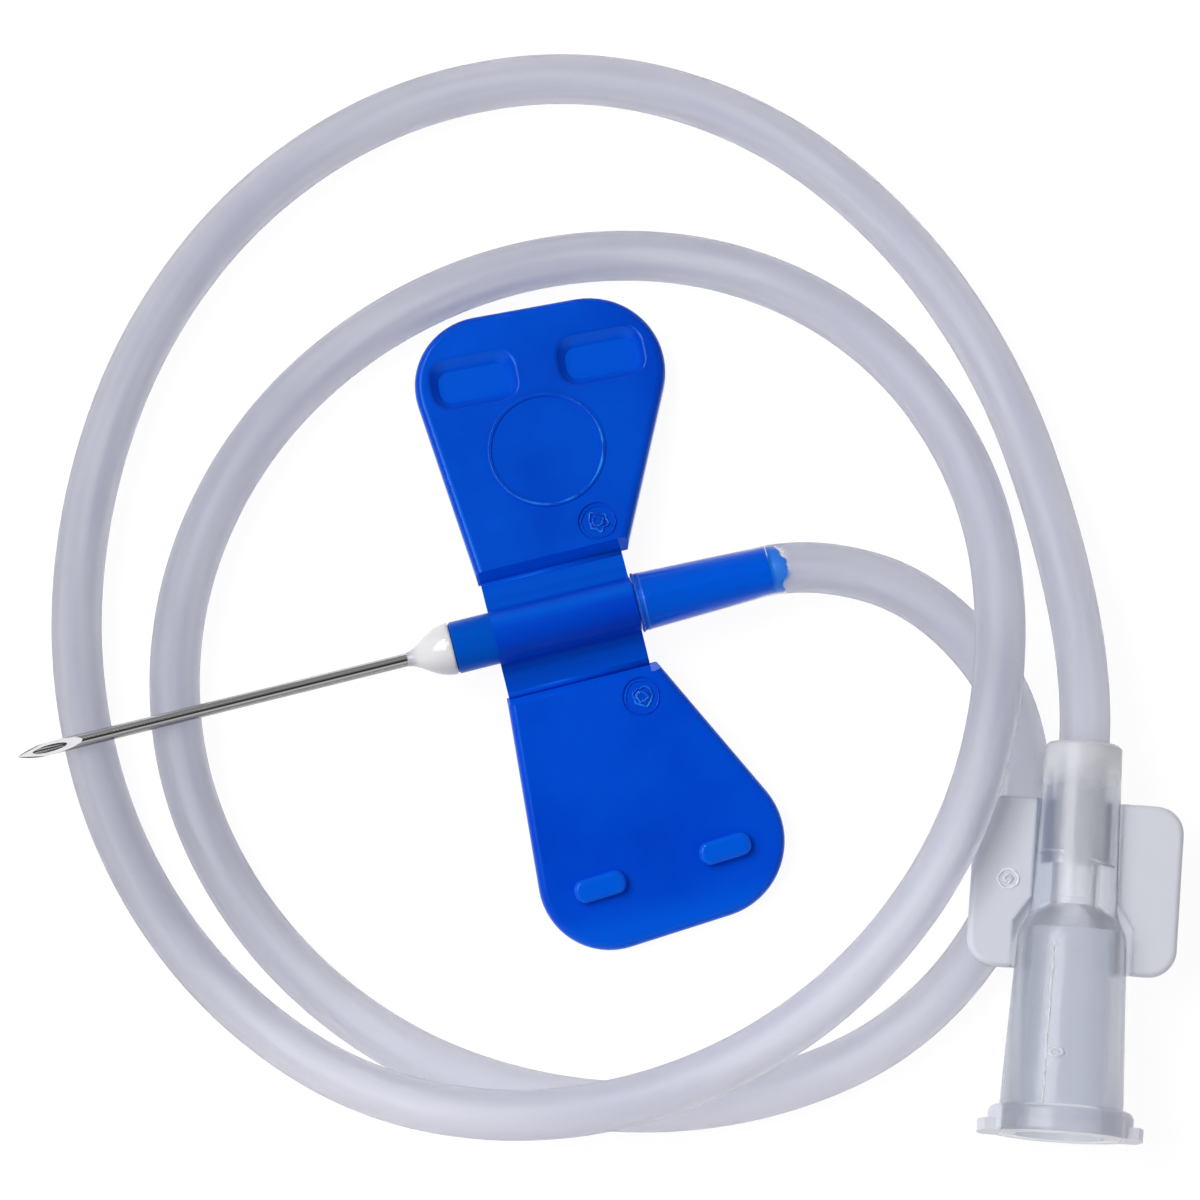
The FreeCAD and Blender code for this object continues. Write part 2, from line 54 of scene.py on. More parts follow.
# Studio: directions to the photograph's lower side and to the dark place above the set. Each
# has the cosines between which the light changes, and the light at the first and the second
STUDIO_FRONT = (-0.2426, -0.9701, 0.0)
FRONT_LIGHT = (-0.10, 0.35, 0.32, 0.62)
STUDIO_TOP = (-0.0630, -0.2524, 0.9656)
TOP_LIGHT = (0.94, 0.99, 1.0, 0.15)

# Lamps: name, degrees round from the photograph's right, degrees up, size in metres, watts
LAMP_DISTANCE = 0.60
LAMPS = [("key_lamp", 165, 55, 0.40, 2.35), ("glint_lamp", 130, 45, 0.08, 0.30)]

# Floor: half its side, its own colour, and the glow that brings it to white
FLOOR_REACH = 1.5
FLOOR_COLOUR = (0.92, 0.92, 0.92, 1)
FLOOR_GLOW = 1.06
FLOOR_GLOW_SHARE = 0.88

# Places along the needle, from the part's solids, and where the hub's blue turns brighter
AXIS_HEIGHT = 2.80 * MM
TUBE_MOUTH = 11.875 * MM
SPIGOT_END = 18.375 * MM
SLEEVE_FRONT = 4.925 * MM
SLEEVE_END = 11.825 * MM
SPIGOT_TINT = (11.0 * MM, 12.0 * MM)

# Adhesive cone: its front, then its profile as (distance behind the front, radius) in
# millimetres, on a curve over four poles, with the bore and the narrower back. Its neck's
# tint ends over a stretch along the needle, and its painted shade over one across it
CONE_FRONT = 0.675 * MM
CONE_POLES = ((0.0, 0.345), (0.55, 0.345), (1.15, 1.25), (2.2, 1.25))
CONE_TIP = (0.0, 0.34)
CONE_BACK = (2.2, 0.85)
CONE_BORE = 0.322
CONE_STEPS = 24
CONE_SIDES = 64
CONE_NECK = (0.75 * MM, 1.3 * MM)
CONE_PAINTED_SHADE = (-1.1 * MM, -0.2 * MM)

# Wing plates: hinge line and its bead, how far they droop in degrees, the height of their
# upper face over the hinge line and over the floor along its normal, and how far out the
# painted light on their rims begins and ends
HINGE_OFFSET = 2.65 * MM
HINGE_HEIGHT = 1.66 * MM
HINGE_BEAD = 0.20 * MM
HINGE_BEAD_TIP = 0.001 * MM
HINGE_END_GAP = 0.02 * MM
HINGE_SIDES = 24
PLATE_DROOP = 6.610
PLATE_FACE = 0.74 * MM
PLATE_TOP = 2.694 * MM
PLATE_RIM = (13.6 * MM, 15.0 * MM)

# Moulding gates: place on the plates, and the scars left in them as (radius, wobble,
# thickness, height over the recess) in millimetres. The last is in the plate's own colour
GATE_FRONT = 11.075 * MM
GATE_REACH = 1.62 * MM
GATE_DEPTH = 0.10 * MM
GATE_SCARS = ((0.44, 0.16, 0.060, 0.03), (0.22, 0.10, 0.055, 0.09), (0.80, 0.06, 0.045, 0.02))

# Small ridges and uneven rings: steps round a ring, sides of its section, and the size and
# share of its unevenness
RING_STEPS = 60
RIDGE_SIDES = 8
RING_BENDS = 1.7
RING_LIFTS = 2.3
RING_LIFT_SHARE = 0.5

# Raised ring: place behind the sleeve's front, size, height of its crest, and the side of its
# painted glint
RING_FRONT = 4.60 * MM
RING_REACH = 5.70 * MM
RING_RADIUS = 2.74 * MM
RING_HEIGHT = 0.03 * MM
CREST_THICKNESS = 0.068 * MM
PAINTED_GLINT_SIDE = (0.515, -0.857, 0.0)

# Tint of the gloss on the blue mouldings: on level faces, and on slopes and marks
BLUE_GLOSS = (0.04, 0.36, 1.0, 1)
SLOPE_GLOSS = (0.26, 0.60, 1.0, 1)

# Blues: dark and light of a face, then the painted light of the wing plates' rims, sockets and
# raised parts, and of the walls that face inwards, where shade falls
SOCKET_BLUES = ((0.0003, 0.053, 0.58, 1), (0.0005, 0.082, 0.69, 1))
SOCKET_PAINTED_LIGHT = (0.0004, 0.090, 0.70, 1)
PEG_BLUES = ((0.0003, 0.052, 0.62, 1), (0.0005, 0.076, 0.73, 1))
PEG_PAINTED_LIGHT = (0.0004, 0.110, 0.80, 1)
INWARD_PAINTED_LIGHT = (0.0004, 0.12, 0.84, 1)
# Scars and ring crest: their blue, and the pale blue of their painted glints
SCAR_BLUES = ((0.0005, 0.070, 0.62, 1), (0.020, 0.26, 0.95, 1))
CREST_BLUES = ((0.0003, 0.060, 0.60, 1), (0.030, 0.28, 0.95, 1))
SLEEVE_CLOUD = (0.0005, 0.085, 0.68, 1)
HUB_BLUES = ((0.0004, 0.072, 0.52, 1), (0.0008, 0.102, 0.64, 1))
SPIGOT_BLUE = (0.0002, 0.108, 0.80, 1)
BOND_BLUES = ((0.0003, 0.14, 0.80, 1), (0.003, 0.25, 0.90, 1))

# Painted light and shade across the sleeve and its webs, from the lower web's edge to the upper
# one's: a painted highlight near the crown's +Y side and painted shade on its -Y side
SLEEVE_PAINTED_LIGHT_BANDS = [
    (-2.90 * MM, (0.0004, 0.088, 0.72, 1)), (-2.30 * MM, (0.0003, 0.070, 0.60, 1)),
    (-1.60 * MM, (0.0003, 0.056, 0.53, 1)), (-0.95 * MM, (0.0002, 0.028, 0.48, 1)),
    (-0.20 * MM, (0.0003, 0.048, 0.60, 1)), (0.15 * MM, (0.0003, 0.050, 0.61, 1)),
    (0.65 * MM, (0.0005, 0.115, 0.76, 1)), (1.15 * MM, (0.0003, 0.058, 0.62, 1)),
    (1.60 * MM, (0.0004, 0.090, 0.65, 1)), (2.30 * MM, (0.0004, 0.092, 0.66, 1)),
    (2.75 * MM, (0.0004, 0.075, 0.64, 1)),
]

# Painted reflections on the drawn steel, set by the way its surface faces: from the needle's -Y
# side over its top to its +Y side
STEEL_PAINTED_REFLECTIONS = [
    (-1.00, (0.20, 0.20, 0.21, 1)), (-0.80, (0.26, 0.26, 0.27, 1)), (-0.66, (0.46, 0.46, 0.47, 1)),
    (-0.52, (0.74, 0.73, 0.74, 1)), (-0.40, (0.82, 0.81, 0.82, 1)), (-0.28, (0.45, 0.44, 0.45, 1)),
    (-0.14, (0.24, 0.23, 0.23, 1)), (0.02, (0.42, 0.41, 0.41, 1)), (0.20, (0.80, 0.79, 0.79, 1)),
    (0.60, (0.72, 0.71, 0.71, 1)), (0.80, (0.57, 0.56, 0.57, 1)), (1.00, (0.40, 0.40, 0.41, 1)),
]
STEEL_STREAK = (0.78, 0.77, 0.77, 1)
GROUND_STEEL = (0.22, 0.22, 0.23, 1)

# White adhesive: its mottling, the painted shade on its -Y side and its clearer neck
ADHESIVE_WHITES = ((0.80, 0.80, 0.82, 1), (0.88, 0.88, 0.89, 1))
ADHESIVE_PAINTED_SHADE = (0.62, 0.62, 0.68, 1)
ADHESIVE_NECK = (0.62, 0.63, 0.74, 1)

# Tubing: radii along its run and over the spigot, where it is stretched
TUBE_OUTER = 1.20 * MM
TUBE_BORE = 0.75 * MM
COLLAR_OUTER = 1.40 * MM
COLLAR_LENGTH = 5.95 * MM
SPIGOT_ROOT = 1.04 * MM
TUBE_SIDES = 40

# Slanted cut at the tubing's far end, with the bead of adhesive round it
CUT_LEAN = 0.28 * MM
CUT_RUN = 1.4 * MM
BEAD_BACK = 0.06 * MM
BEAD_INSET = 0.02 * MM
BEAD_WOBBLE = 0.05 * MM
BEAD_THICKNESS = 0.07 * MM

# Lips at the tubing's mouth: (distance behind it, radius, thickness) in millimetres
MOUTH_LIPS = ((0.07, 1.40, 0.055), (0.33, 1.385, 0.035))
LIP_STEPS = 48
LIP_SIDES = 10

# Blue adhesive in the tubing: how far it runs, where along that its rings lie, its radii,
# how much the tubing grips it, and its ragged rim in millimetres and in cells of noise
BOND_REACH = 0.85 * MM
BOND_STATIONS = (0.0, 0.35, 0.7, 0.9, 1.0)
BOND_OUTER = 0.745 * MM
BOND_RIM = 0.69 * MM
BOND_BORE = 0.45 * MM
BOND_SQUEEZE = 0.03 * MM
BOND_LEAN = 0.15
BOND_HOLLOW = 0.35
BOND_RIPPLE = 0.30
BOND_CELLS = 2.6

# Streaks in the tubing: cells of noise round it, and the length of one along it
STREAK_CELLS = 3.2
STREAK_RUN = 9 * MM

# Frosted tubing with painted light: darker on its left and lighter on its right, lighter on its
# lower stretch, and its mottling
FROST_LEFT_SHADE = (0.635, 0.643, 0.73, 1)
FROST_RIGHT_LIGHT = (0.735, 0.742, 0.83, 1)
FROST_SPAN = (-16 * MM, 28 * MM)
FROST_LOW_LIGHT = (0.88, 0.885, 0.955, 1)
FROST_LOW_LIGHT_SPAN = (-21 * MM, -6 * MM)
FROST_CLOUD = (0.84, 0.845, 0.91, 1)
WHITE = (1, 1, 1, 1)

# Clear part of the tubing over the spigot: its colour and gloss, how far from the axis it may
# be, where it ends, how far that end bulges in the middle, where the bulge fades out on the
# +Y side, and how much less and where it is on the -Y side
CLEAR_TUBE = (0.98, 0.98, 1, 1)
CLEAR_GLOSS = (0.02, 0.25, 1, 1)
CLEAR_WIDTH = 3 * MM
CLEAR_END = (SPIGOT_END - 0.08 * MM, SPIGOT_END + 0.15 * MM)
CLEAR_BULGE = 0.85 * MM
CLEAR_UPPER_SPAN = (0.65 * MM, 1.20 * MM)
CLEAR_LOWER_LOSS = 0.35 * MM
CLEAR_LOWER_SPAN = (-0.95 * MM, -0.30 * MM)

# The tubing's route between the hub and the connector, in millimetres
HUB_POINTS = [(11.875, 0.0, 2.8), (15.325, 0.0, 2.8), (20.325, 0.0, 2.8)]
FREE_ROUTE = [
    (25.525, -2.8, 1.85), (28.675, -9.2, 1.2), (26.645, -17.2, 1.2), (19.925, -22.9, 1.2),
    (11.425, -24.3, 1.2), (3.025, -22.5, 1.2), (-4.275, -18.0, 1.2), (-9.375, -11.0, 1.2),
    (-11.375, -2.7, 1.2), (-9.475, 5.7, 1.2), (-4.175, 12.5, 1.2), (3.325, 16.6, 1.2),
    (11.825, 17.7, 1.2), (20.225, 15.4, 1.2), (26.525, 9.7, 1.5), (29.325, 1.6, 2.95),
    (28.225, -6.8, 4.65), (24.325, -14.5, 4.85), (17.825, -20.1, 4.2), (9.825, -23.0, 3.85),
    (1.225, -22.9, 3.7), (-6.475, -19.5, 2.0), (-12.075, -13.0, 1.2), (-14.975, -5.0, 1.2),
    (-14.975, 3.6, 1.2), (-12.375, 11.7, 1.2), (-7.675, 18.8, 1.2), (-0.975, 24.1, 1.2),
    (7.125, 26.7, 1.2), (15.725, 26.0, 1.2), (23.225, 21.8, 1.2), (28.525, 15.0, 1.2),
    (31.525, 7.0, 1.25), (32.225, -1.3, 1.85),
]

# Connector: its tubing end and its axis, then distances along it: how far the tubing is
# straight before it and in it, the change from the stem to the barrel, and the barrel's ends
LUER_ENTRY = Vector((30.765, -11.78, 3.15)) * MM
LUER_HEADING = math.radians(-108.2)
LUER_PITCH = math.radians(0.9076)
LUER_LEAD = 3.0 * MM
LUER_SEAT = 5.8 * MM
STEM_END = (7.4 * MM, 8.8 * MM)
GRIP_STEP = (7.4 * MM, 8.6 * MM)
GRIP_INNER = 1.95 * MM
GRIP_FACE = 0.45 * MM
BARREL_START = 9.6 * MM
BARREL_END = 17.3 * MM
BARREL_ROOT = 2.60 * MM
BARREL_MOUTH = 2.925 * MM

# Connector's colours: milky body and the painted shade on its left side, stem from its middle to
# its walls, which carry painted shade darker on the left, grips.
# The spans are where each changes, across the connector or along it
LUER_MILK = ((0.76, 0.785, 0.865, 1), (0.82, 0.84, 0.91, 1))
LUER_LEFT_SHADE = (0.67, 0.70, 0.775, 1)
LUER_LEFT_SHADE_SPAN = (-2.4 * MM, -0.2 * MM)
ENTRY_HAZE_SPAN = (0.6 * MM, 2.4 * MM)
STEM_MIDDLE = (0.92, 0.93, 0.97, 1)
STEM_WALL_SHADES = ((0.50, 0.55, 0.68, 1), (0.66, 0.69, 0.78, 1))
STEM_WALL_SHADE_SPAN = (-1.0 * MM, 1.0 * MM)
STEM_MIDDLE_SPAN = (0.85 * MM, 1.40 * MM)
STEM_START_SPAN = (1.2 * MM, 3.2 * MM)
GRIP_EDGE_SPAN = (0.0, 0.25 * MM)
GRIP_MILK = (0.83, 0.845, 0.93, 1)
MARK_WHITES = ((0.62, 0.64, 0.70, 1), (0.94, 0.95, 0.98, 1))

# Parting line on the barrel: its turn from the top and how much that sways, its height and
# unevenness in millimetres, and the cells of noise to the millimetre for both
SEAM_TURN = math.radians(-21.0)
SEAM_STEPS = 60
SEAM_END_GAP = 0.05 * MM
SEAM_SWAY = 0.02
SEAM_SWAY_CELLS = 1.3
SEAM_HEIGHT = 0.034
SEAM_RIPPLE = 0.030
SEAM_RIPPLE_CELLS = 2.1

# Nick beside the parting line: its place, radius, wobble and thickness, and how narrow it is
NICK_TURN = SEAM_TURN + 0.17
NICK_ALONG = 14.9 * MM
NICK_SIZES = (0.30 * MM, 0.05 * MM, 0.085 * MM)
NICK_SQUASH = 0.6

# Ejector mark on the left grip: place across and along, then (radius, thickness) of its rings
# in millimetres
EJECTOR_MARK = (-3.2 * MM, 6.65 * MM)
EJECTOR_RINGS = ((0.46, 0.060), (0.17, 0.07))
EJECTOR_WOBBLE = 0.05 * MM


def luer_frame():
    """Unit vectors of the connector: along it to its mouth, across its grips, and up."""
    flat = math.cos(LUER_PITCH)
    axis = Vector((
        flat * math.cos(LUER_HEADING), flat * math.sin(LUER_HEADING), math.sin(LUER_PITCH)
    ))
    across = Vector((-axis.y, axis.x, 0)).normalized()
    return axis, across, axis.cross(across)


def route_points():
    """Control points of the tubing, from its mouth on the hub to its seat in the connector."""
    axis, _, _ = luer_frame()
    points = [Vector(point) * MM for point in HUB_POINTS + FREE_ROUTE]
    points += [LUER_ENTRY + axis * reach for reach in (-LUER_LEAD, LUER_LEAD, LUER_SEAT)]
    return points


def add_camera():
    """Camera that looks down on the set from the photograph's lower edge."""
    turn = Matrix.Rotation(VIEW_TURN, 3, "Z")
    back = turn @ Vector((0, -math.cos(VIEW_ELEVATION), math.sin(VIEW_ELEVATION)))
    side = turn @ Vector((1, 0, 0))
    up = back.cross(side)
    data = bpy.data.cameras.new("camera")
    data.angle = 2 * math.atan(VIEW_WIDTH / 2 / VIEW_DISTANCE)
    data.clip_start = VIEW_NEAREST
    camera = bpy.data.objects.new("camera", data)
    camera.matrix_world = Matrix.Translation(VIEW_TARGET + back * VIEW_DISTANCE) @ Matrix(
        (side, up, back)
    ).transposed().to_4x4()
    bpy.context.collection.objects.link(camera)
    bpy.context.scene.camera = camera


def add_softbox(name, azimuth, elevation, size, watts):
    """Square area lamp aimed at the set. Azimuth is counted from the photograph's right."""
    turn = math.radians(azimuth) + VIEW_TURN
    rise = math.radians(elevation)
    away = Vector((
        math.cos(rise) * math.cos(turn), math.cos(rise) * math.sin(turn), math.sin(rise)
    ))
    data = bpy.data.lights.new(name, "AREA")
    data.shape = "SQUARE"
    data.size = size
    data.energy = watts
    lamp = bpy.data.objects.new(name, data)
    lamp.matrix_world = Matrix.Translation(VIEW_TARGET + away * LAMP_DISTANCE) @ (
        away.to_track_quat("Z", "Y").to_matrix().to_4x4()
    )
    lamp.visible_camera = False
    bpy.context.collection.objects.link(lamp)


class Nodes:
    """Adds nodes to one node tree and feeds their sockets."""

    def __init__(self, tree):
        self.tree = tree

    def add(self, kind, inputs=None, **settings):
        """New node; inputs holds numbers or the sockets they are fed from."""
        node = self.tree.nodes.new("ShaderNode" + kind)
        for name, value in settings.items():
            setattr(node, name, value)
        for name, value in (inputs or {}).items():
            self.feed(node.inputs[name], value)
        return node

    def feed(self, socket, value):
        """Sets a socket to a value, or links it to another node's output."""
        if isinstance(value, bpy.types.NodeSocket):
            self.tree.links.new(value, socket)
        else:
            socket.default_value = value

    def math(self, operation, first, second=0.0):
        """One arithmetic step."""
        return self.add("Math", {0: first, 1: second}, operation=operation).outputs[0]

    def between(self, value, low, high, start=0.0, end=1.0, smooth=False):
        """Value mapped from start..end to low..high."""
        node = self.add("MapRange", {
            "Value": value, "From Min": start, "From Max": end, "To Min": low, "To Max": high
        }, interpolation_type="SMOOTHSTEP" if smooth else "LINEAR")
        return node.outputs["Result"]

    def rise(self, value, start, end, smooth=True):
        """0 up to start, 1 from end on."""
        return self.between(value, 0.0, 1.0, start, end, smooth)

    def fall(self, value, start, end, smooth=True):
        """1 up to start, 0 from end on."""
        return self.between(value, 1.0, 0.0, start, end, smooth)


def add_world():
    """Studio: brighter from the photograph's lower side, dark behind the camera, white to it."""
    world = bpy.data.worlds.new("studio")
    world.use_nodes = True
    world.node_tree.nodes.clear()
    bpy.context.scene.world = world
    nodes = Nodes(world.node_tree)
    place = nodes.add("TexCoord").outputs["Generated"]

    def towards(direction, start, end, low, high):
        """Smooth change of the light with the angle to a fixed direction of the studio."""
        dot = nodes.add("VectorMath", {0: place, 1: direction}, operation="DOT_PRODUCT")
        return nodes.between(dot.outputs["Value"], low, high, start, end, True)

    light = nodes.math(
        "MULTIPLY", towards(STUDIO_FRONT, *FRONT_LIGHT), towards(STUDIO_TOP, *TOP_LIGHT)
    )
    path = nodes.add("LightPath").outputs
    seen = nodes.math("MAXIMUM", path["Is Camera Ray"], path["Is Transmission Ray"])
    studio = nodes.add("Background", {"Strength": light})
    white = nodes.add("Background", {"Color": WHITE})
    mix = nodes.add("MixShader", {0: seen, 1: studio.outputs[0], 2: white.outputs[0]})
    nodes.add("OutputWorld", {"Surface": mix.outputs[0]})


def add_floor():
    """Pale floor that shows white and keeps a soft shadow."""
    reach = FLOOR_REACH
    mesh = bpy.data.meshes.new("floor")
    mesh.from_pydata(
        [(-reach, -reach, 0), (reach, -reach, 0), (reach, reach, 0), (-reach, reach, 0)],
        [], [(0, 1, 2, 3)]
    )
    floor = bpy.data.objects.new("floor", mesh)
    bpy.context.collection.objects.link(floor)
    paint = bpy.data.materials.new("floor_white")
    paint.use_nodes = True
    paint.node_tree.nodes.clear()
    nodes = Nodes(paint.node_tree)
    path = nodes.add("LightPath").outputs
    seen = nodes.math("MAXIMUM", path["Is Camera Ray"], path["Is Glossy Ray"])
    seen = nodes.math("MAXIMUM", seen, path["Is Transmission Ray"])
    matt = nodes.add("BsdfDiffuse", {"Color": FLOOR_COLOUR})
    glow = nodes.add("Emission", {"Color": WHITE, "Strength": FLOOR_GLOW})
    mix = nodes.add("MixShader", {
        0: nodes.math("MULTIPLY", seen, FLOOR_GLOW_SHARE), 1: matt.outputs[0], 2: glow.outputs[0]
    })
    nodes.add("OutputMaterial", {"Surface": mix.outputs[0]})
    mesh.materials.append(paint)


class Paint(Nodes):
    """A node material round one principled shader."""

    def __init__(self, name, **sockets):
        self.material = bpy.data.materials.new(name)
        self.material.use_nodes = True
        super().__init__(self.material.node_tree)
        self.shader = self.tree.nodes["Principled BSDF"]
        for socket, value in sockets.items():
            self.shader.inputs[socket.replace("_", " ")].default_value = value

    def drive(self, name, value):
        """Feeds one socket of the principled shader."""
        self.feed(self.shader.inputs[name], value)

    def place(self, scale=(1, 1, 1)):
        """Object coordinates, stretched by scale."""
        where = self.add("TexCoord")
        mapping = self.add("Mapping", {"Vector": where.outputs["Object"], "Scale": scale})
        return mapping.outputs[0]

    def reach(self, direction, origin=(0, 0, 0)):
        """Distance of a surface point from origin along a direction."""
        where = self.add("TexCoord")
        away = self.add(
            "VectorMath", {0: where.outputs["Object"], 1: origin}, operation="SUBTRACT"
        )
        return self.add(
            "VectorMath", {0: away.outputs[0], 1: direction}, operation="DOT_PRODUCT"
        ).outputs["Value"]

    def normal(self):
        """X, Y and Z of the surface normal, in the object's own directions."""
        return self.add("SeparateXYZ", {0: self.add("TexCoord").outputs["Normal"]}).outputs

    def noise(self, scale, detail=3.0, stretch=(1, 1, 1)):
        """Noise of so many cells to the metre."""
        node = self.add(
            "TexNoise", {"Vector": self.place(stretch), "Scale": scale, "Detail": detail}
        )
        return node.outputs["Fac"]

    def blend(self, share, first, second):
        """Colour between first and second."""
        node = self.add("Mix", data_type="RGBA")
        self.feed(node.inputs[0], share)
        self.feed(node.inputs[6], first)
        self.feed(node.inputs[7], second)
        return node.outputs[2]

    def ramp(self, value, stops):
        """Colour at a value, between stops given as (value, colour)."""
        low = stops[0][0]
        high = stops[-1][0]
        node = self.add("ValToRGB", {"Fac": self.between(value, 0.0, 1.0, low, high)})
        elements = node.color_ramp.elements
        while len(elements) < len(stops):
            elements.new(0.5)
        for element, (place, colour) in zip(elements, stops):
            element.position = (place - low) / (high - low)
            element.color = colour
        return node.outputs["Color"]

    def bump(self, height, strength, distance):
        """Surface relief fed to the shader's normal."""
        node = self.add("Bump", {"Height": height, "Strength": strength, "Distance": distance})
        self.drive("Normal", node.outputs[0])


def steel_paint():
    """Drawn steel with fine lengthwise streaks over painted reflection bands, rougher on the
    ground bevel.
    """
    paint = Paint("needle_steel", Metallic=1.0)
    streaks = paint.noise(9000, 2.0, (0.03, 1, 1))
    normal = paint.normal()
    # Painted reflections: light and dark bands in the base colour, set by the normal's Y
    painted_light_bands = paint.ramp(normal["Y"], STEEL_PAINTED_REFLECTIONS)
    drawn = paint.blend(paint.between(streaks, 0.0, 0.3), painted_light_bands, STEEL_STREAK)
    ground = paint.fall(normal["X"], -0.12, -0.04)
    paint.drive("Base Color", paint.blend(ground, drawn, GROUND_STEEL))
    paint.drive("Roughness", paint.math(
        "ADD", paint.between(streaks, 0.06, 0.14), paint.math("MULTIPLY", ground, 0.22)
    ))
    paint.bump(streaks, 0.12, 0.01 * MM)
    return paint.material


def adhesive_paint():
    """Glossy white adhesive, with painted shade on its -Y side and clearer at its neck."""
    paint = Paint(
        "white_adhesive", Roughness=0.12, Subsurface_Weight=0.5, Subsurface_Scale=0.3 * MM,
        Subsurface_Radius=(1, 1, 1), Coat_Weight=0.3, Coat_Roughness=0.06
    )
    body = paint.blend(paint.noise(700, 3.0), *ADHESIVE_WHITES)
    neck = paint.fall(paint.reach((1, 0, 0)), *CONE_NECK)
    # Painted shade: darker on the -Y side of the cone
    under = paint.between(paint.reach((0, 1, 0)), 0.75, 0.0, *CONE_PAINTED_SHADE, True)
    shaded = paint.blend(under, body, ADHESIVE_PAINTED_SHADE)
    paint.drive("Base Color", paint.blend(neck, shaded, ADHESIVE_NECK))
    return paint.material


def plate_paint(name, side, blues, painted_light_blue, rim_share):
    """Satin blue of a wing plate with painted light: paler where its rim and its sockets lie below
    its face, on what rises above it, towards its outer rim, and on its walls that face inwards.
    """
    paint = Paint(name, IOR=1.5, Specular_IOR_Level=0.45, Specular_Tint=BLUE_GLOSS)
    cloud = paint.noise(170, 6.0)
    fine = paint.noise(6000, 3.0)
    face = paint.blend(paint.rise(cloud, 0.36, 0.64, False), *blues)
    slope = math.radians(PLATE_DROOP)
    level = paint.reach((0, side * math.sin(slope), math.cos(slope)))
    # Painted light: paler where the plate lies below its face or rises above it, and towards its
    # outer rim
    below = paint.fall(level, PLATE_TOP - 0.45 * MM, PLATE_TOP - 0.02 * MM)
    above = paint.rise(level, PLATE_TOP + 0.08 * MM, PLATE_TOP + 0.30 * MM)
    normal = paint.normal()
    # Painted light on the walls that face inwards, which lie in shade
    inward = paint.between(normal["Y"], 0.0, 0.8, -0.2 * side, -0.8 * side, True)
    rim = paint.between(paint.reach((0, side, 0)), 0.0, rim_share, *PLATE_RIM, True)
    painted_pale = paint.math("MAXIMUM", paint.math("MAXIMUM", below, above), rim)
    paint.drive("Base Color", paint.blend(inward, paint.blend(painted_pale, face, painted_light_blue), INWARD_PAINTED_LIGHT))
    sloped = paint.fall(normal["Z"], 0.940, 0.985)
    paint.drive("Specular Tint", paint.blend(sloped, BLUE_GLOSS, SLOPE_GLOSS))
    paint.drive("Roughness", paint.math(
        "SUBTRACT", paint.between(fine, 0.26, 0.40), paint.math("MULTIPLY", sloped, 0.20)
    ))
    paint.bump(paint.math("ADD", fine, paint.noise(900, 2.0)), 0.10, 0.02 * MM)
    return paint.material


def mark_paint(name, blues, glint_side=None):
    """Glossy blue of the moulded marks with painted glints: pale in flecks, or only towards the
    ring's glint side.
    """
    paint = Paint(name, IOR=1.5, Specular_IOR_Level=0.5, Specular_Tint=SLOPE_GLOSS, Roughness=0.14)
    # Painted glints: pale flecks
    flecks = paint.rise(paint.noise(1200, 2.0), 0.35, 0.65, False)
    if glint_side:
        # On the ring the painted glint fades out away from one side
        centre = plate_place(1, SLEEVE_FRONT + RING_FRONT, RING_REACH, PLATE_FACE)
        reach = paint.reach(glint_side, centre)
        flecks = paint.math(
            "MULTIPLY", flecks, paint.between(reach, 0.1, 1.6, 0.2 * RING_RADIUS, RING_RADIUS)
        )
    paint.drive("Base Color", paint.blend(flecks, *blues))
    return paint.material


def sleeve_paint():
    """Satin blue of the sleeve, its webs and their hinges, with painted light and shade in bands
    across them.
    """
    paint = Paint("sleeve_blue", IOR=1.5, Specular_IOR_Level=0.45, Specular_Tint=BLUE_GLOSS)
    cloud = paint.between(paint.noise(300, 4.0, (0.4, 1, 1)), 0.0, 0.4, 0.35, 0.75)
    fine = paint.noise(6000, 3.0)
    wave = paint.between(paint.noise(260, 2.0), -0.12 * MM, 0.12 * MM)
    # Painted light and shade: colour bands set by the distance along Y
    painted_light_bands = paint.ramp(paint.math("ADD", paint.reach((0, 1, 0)), wave), SLEEVE_PAINTED_LIGHT_BANDS)
    paint.drive("Base Color", paint.blend(cloud, painted_light_bands, SLEEVE_CLOUD))
    paint.drive("Roughness", paint.between(fine, 0.27, 0.38))
    paint.bump(fine, 0.06, 0.01 * MM)
    return paint.material


def hub_paint():
    """Clearer blue of the hub, brighter on the spigot inside the tubing."""
    paint = Paint(
        "hub_blue", IOR=1.35, Specular_IOR_Level=0.30, Specular_Tint=BLUE_GLOSS, Roughness=0.22
    )
    streaks = paint.noise(1500, 2.0, (0.05, 1, 1))
    barrel = paint.blend(streaks, *HUB_BLUES)
    spigot = paint.rise(paint.reach((1, 0, 0)), *SPIGOT_TINT, False)
    paint.drive("Base Color", paint.blend(spigot, barrel, SPIGOT_BLUE))
    return paint.material


